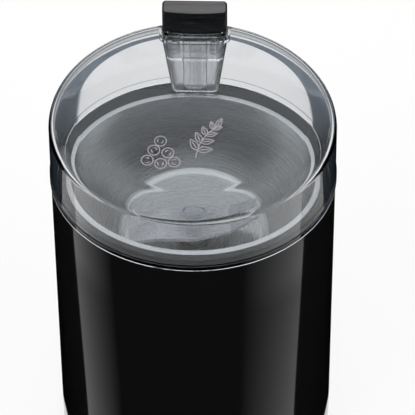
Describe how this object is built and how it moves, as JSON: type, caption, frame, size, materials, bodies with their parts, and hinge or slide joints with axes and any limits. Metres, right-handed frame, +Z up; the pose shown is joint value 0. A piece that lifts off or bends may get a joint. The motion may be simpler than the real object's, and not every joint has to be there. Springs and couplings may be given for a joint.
{
  "type": "electric spice grinder",
  "caption": "Upright oval electric spice grinder: gloss black housing with a motor, steel bowl with a blade, and a clear lift-off lid with a push button at the back.",
  "frame": {"origin": "middle of the bounding box, on the surface that the feet stand on", "axes": "+Z up along the shaft of the motor, -Y towards the front, +Y towards the push button, +X to the right seen from the front"},
  "size_m": [0.102, 0.084, 0.2024],
  "materials": {
    "gloss_black": "polished black plastic",
    "clear_plastic": "transparent plastic",
    "deck_black": "satin black plastic",
    "motor_plastic": "moulded motor and switch parts",
    "bowl_steel": "drawn stainless steel",
    "steel": "bright steel",
    "black_rubber": "soft rubber",
    "copper": "copper wire and bars",
    "brass": "sheet brass",
    "carbon": "carbon"
  },
  "bodies": {
    "base": {"housing": "gloss_black", "base_plate": "deck_black", "foot_front_left": "black_rubber", "foot_front_right": "black_rubber", "foot_back_left": "black_rubber", "foot_back_right": "black_rubber", "base_screws": "steel", "top_deck": "deck_black", "deck_screws": "steel", "bowl_gasket": "black_rubber", "grinding_bowl": "bowl_steel", "shaft_seal": "black_rubber", "lower_motor_bracket": "motor_plastic", "upper_motor_bracket": "motor_plastic", "lower_bearing_bush": "brass", "upper_bearing_bush": "brass", "stator_stack": "steel", "field_coil_left": "copper", "field_coil_right": "copper", "motor_bolts": "steel", "motor_nuts": "steel", "motor_dampers": "black_rubber", "brush_holder_left": "brass", "brush_holder_right": "brass", "carbon_brush_left": "carbon", "carbon_brush_right": "carbon", "brush_spring_left": "steel", "brush_spring_right": "steel", "cord_inlet": "black_rubber", "terminal_block": "motor_plastic", "suppression_capacitor": "motor_plastic", "thermal_cutout": "motor_plastic", "plunger_guide": "deck_black", "plunger_spring": "steel", "switch_body": "motor_plastic"},
    "rotor": {"rotor_shaft": "steel", "armature_stack": "steel", "armature_windings": "copper", "commutator": "copper", "cooling_fan": "motor_plastic", "blade_hub": "deck_black", "blade": "steel", "blade_nut": "steel"},
    "plunger": {"switch_plunger": "deck_black"},
    "lever": {"switch_lever": "steel"},
    "lid": {"lid_shell": "clear_plastic", "button_spring": "steel"},
    "button": {"push_button": "gloss_black", "push_rod": "clear_plastic"}
  },
  "joints": [
    {"name": "rotor_spin", "type": "hinge", "parent": "base", "child": "rotor", "pos_m": [0, 0, 0.05], "axis": [0, 0, 1], "continuous": true},
    {"name": "lid_lift", "type": "slide", "parent": "base", "child": "lid", "axis": [0, 0, 1], "range_m": [0, 0.06]},
    {"name": "button_press", "type": "slide", "parent": "lid", "child": "button", "axis": [0, 0, -1], "range_m": [0, 0.004], "stiffness_N_per_m": 600, "springref_m": -0.004, "deforming": ["button_spring"]},
    {"name": "plunger_press", "type": "slide", "parent": "base", "child": "plunger", "axis": [0, 0, -1], "range_m": [0, 0.004], "stiffness_N_per_m": 300, "springref_m": -0.004, "deforming": ["plunger_spring"]},
    {"name": "lever_press", "type": "hinge", "parent": "base", "child": "lever", "pos_m": [-0.0135, 0.034, 0.1282], "axis": [0, 1, 0], "range_deg": [0, 16.5]}
  ],
  "couplings": [
    {"joint": "plunger_press", "follows": "button_press", "ratio": 1},
    {"joint": "lever_press", "follows": "button_press", "rad_per_m": 72}
  ]
}
